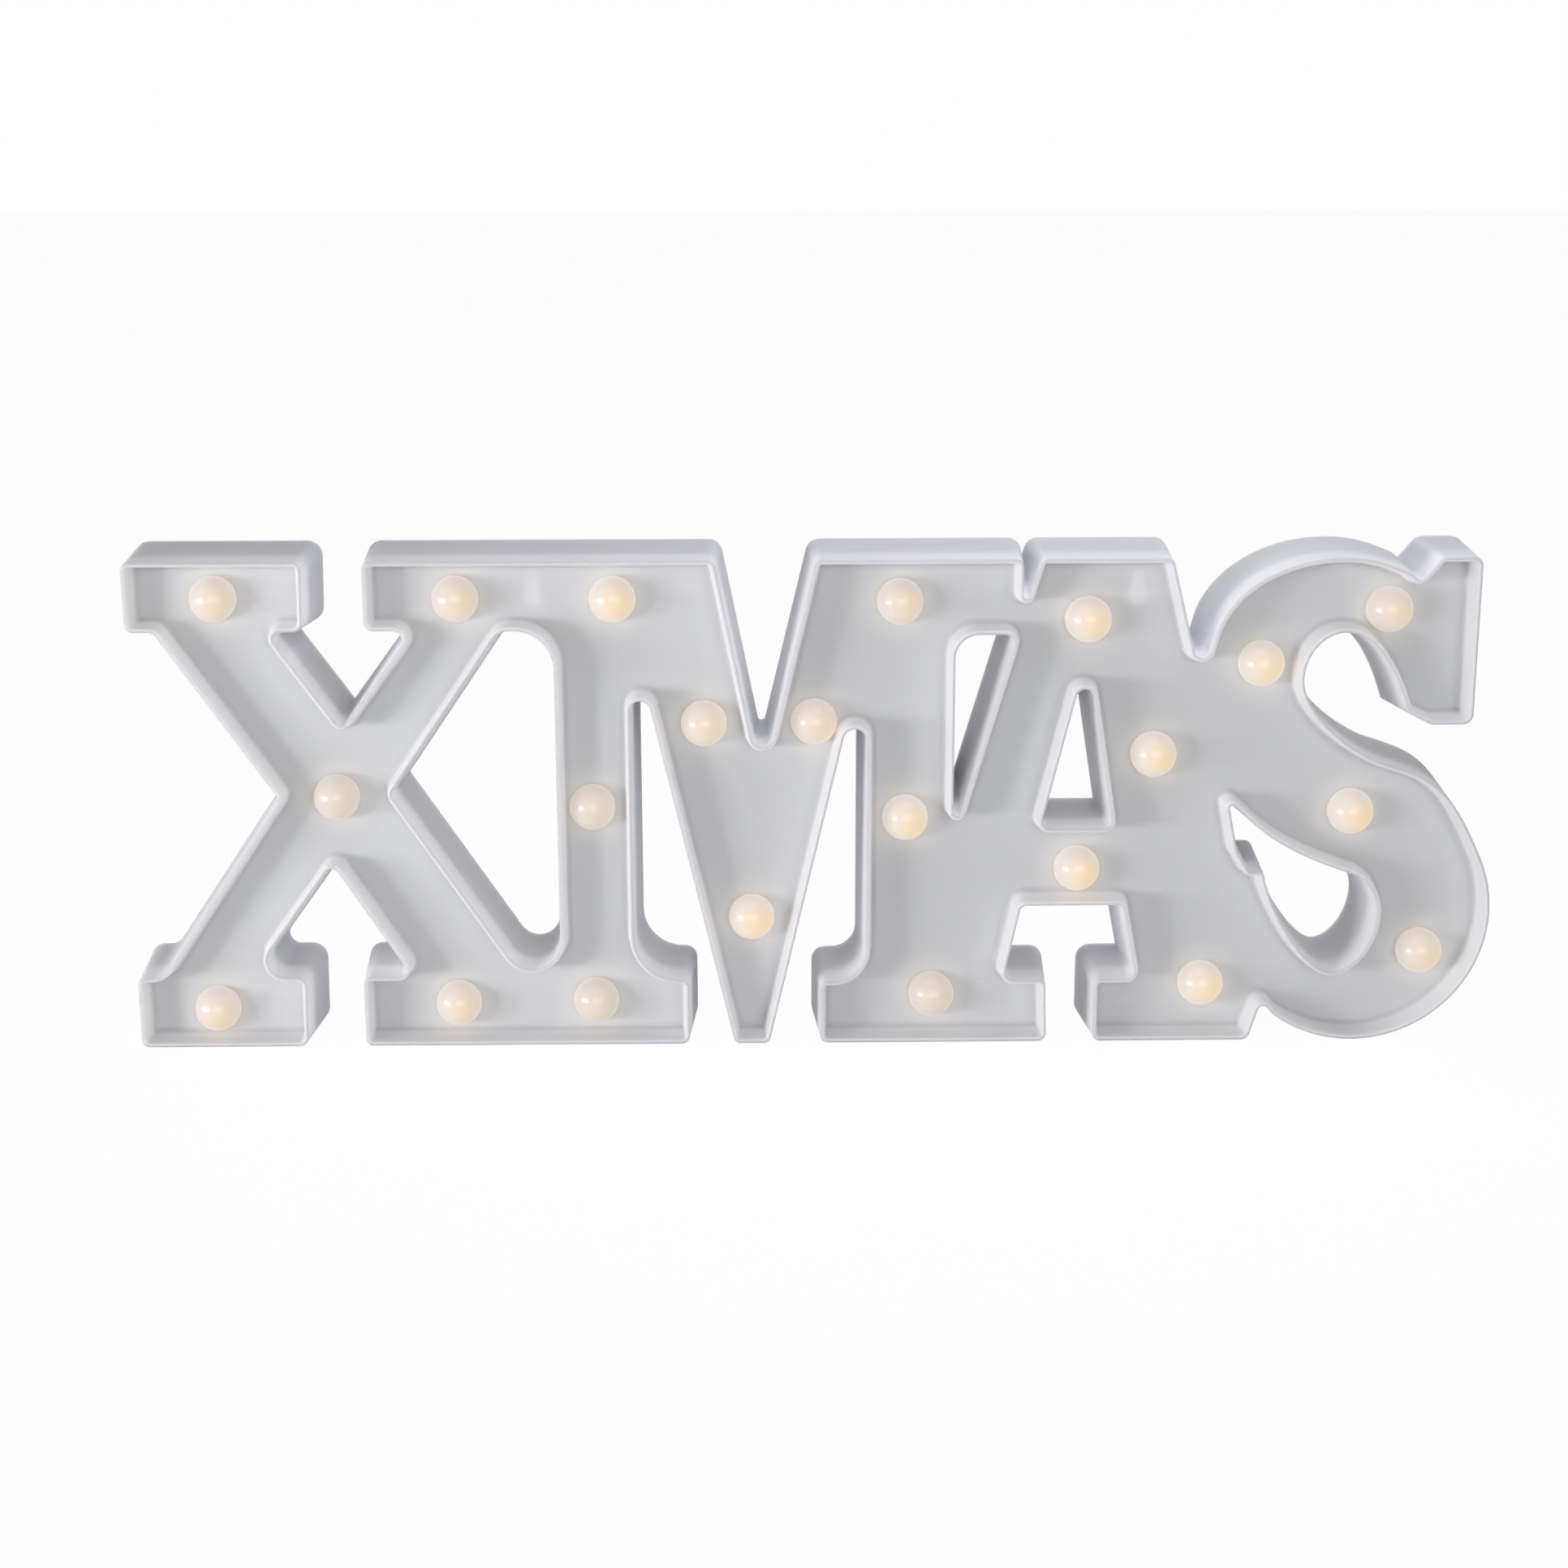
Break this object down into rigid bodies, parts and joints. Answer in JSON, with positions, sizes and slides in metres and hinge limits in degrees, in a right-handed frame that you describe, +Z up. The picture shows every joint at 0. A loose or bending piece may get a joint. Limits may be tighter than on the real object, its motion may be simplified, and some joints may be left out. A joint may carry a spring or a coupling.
{
  "type": "marquee word sign",
  "caption": "White block-letter marquee word sign with a recessed front, round frosted lamp caps, a flush back cover, a hinged battery door and a slide switch.",
  "frame": {"origin": "under the middle of the sign, at the centre of its depth, on the surface it stands on", "axes": "+X to the right along the word seen from the front, +Y towards the back, +Z up"},
  "size_m": [0.6124, 0.044, 0.2235],
  "materials": {
    "white_plastic": "satin",
    "frosted_cap": "frosted",
    "clear_lamp": "clear epoxy on insulated lead",
    "spring_steel": "bright nickel",
    "cell_jacket": "gloss film",
    "black_plastic": "matt"
  },
  "bodies": {
    "sign": {"letter_shell": "white_plastic", "back_cover": "white_plastic", "lamp_cap_01": "frosted_cap", "lamp_cap_02": "frosted_cap", "lamp_cap_03": "frosted_cap", "lamp_cap_04": "frosted_cap", "lamp_cap_05": "frosted_cap", "lamp_cap_06": "frosted_cap", "lamp_cap_07": "frosted_cap", "lamp_cap_08": "frosted_cap", "lamp_cap_09": "frosted_cap", "lamp_cap_10": "frosted_cap", "lamp_cap_11": "frosted_cap", "lamp_cap_12": "frosted_cap", "lamp_cap_13": "frosted_cap", "lamp_cap_14": "frosted_cap", "lamp_cap_15": "frosted_cap", "lamp_cap_16": "frosted_cap", "lamp_cap_17": "frosted_cap", "lamp_cap_18": "frosted_cap", "lamp_cap_19": "frosted_cap", "lamp_cap_20": "frosted_cap", "lamp_cap_21": "frosted_cap", "lamp_cap_22": "frosted_cap", "lamp_string_x": "clear_lamp", "lamp_string_m": "clear_lamp", "lamp_string_a": "clear_lamp", "lamp_string_s": "clear_lamp", "battery_01": "cell_jacket", "battery_02": "cell_jacket", "contact_spring_01": "spring_steel", "contact_spring_02": "spring_steel", "contact_negative": "spring_steel", "contact_positive": "spring_steel", "contact_bridge": "spring_steel", "switch_body": "black_plastic", "cover_screw_01": "spring_steel", "cover_screw_02": "spring_steel", "cover_screw_03": "spring_steel", "cover_screw_04": "spring_steel", "cover_screw_05": "spring_steel", "cover_screw_06": "spring_steel", "cover_screw_07": "spring_steel", "cover_screw_08": "spring_steel", "cover_screw_09": "spring_steel", "cover_screw_10": "spring_steel"},
    "door": {"battery_door": "white_plastic"},
    "slider": {"switch_slider": "black_plastic"}
  },
  "joints": [
    {"name": "door_hinge", "type": "hinge", "parent": "sign", "child": "door", "pos_m": [0.05793, 0.022, 0.03725], "axis": [-1, 0, 0], "range_deg": [0, 110]},
    {"name": "switch_slide", "type": "slide", "parent": "sign", "child": "slider", "axis": [0, 0, 1], "range_m": [0, 0.0036]}
  ]
}
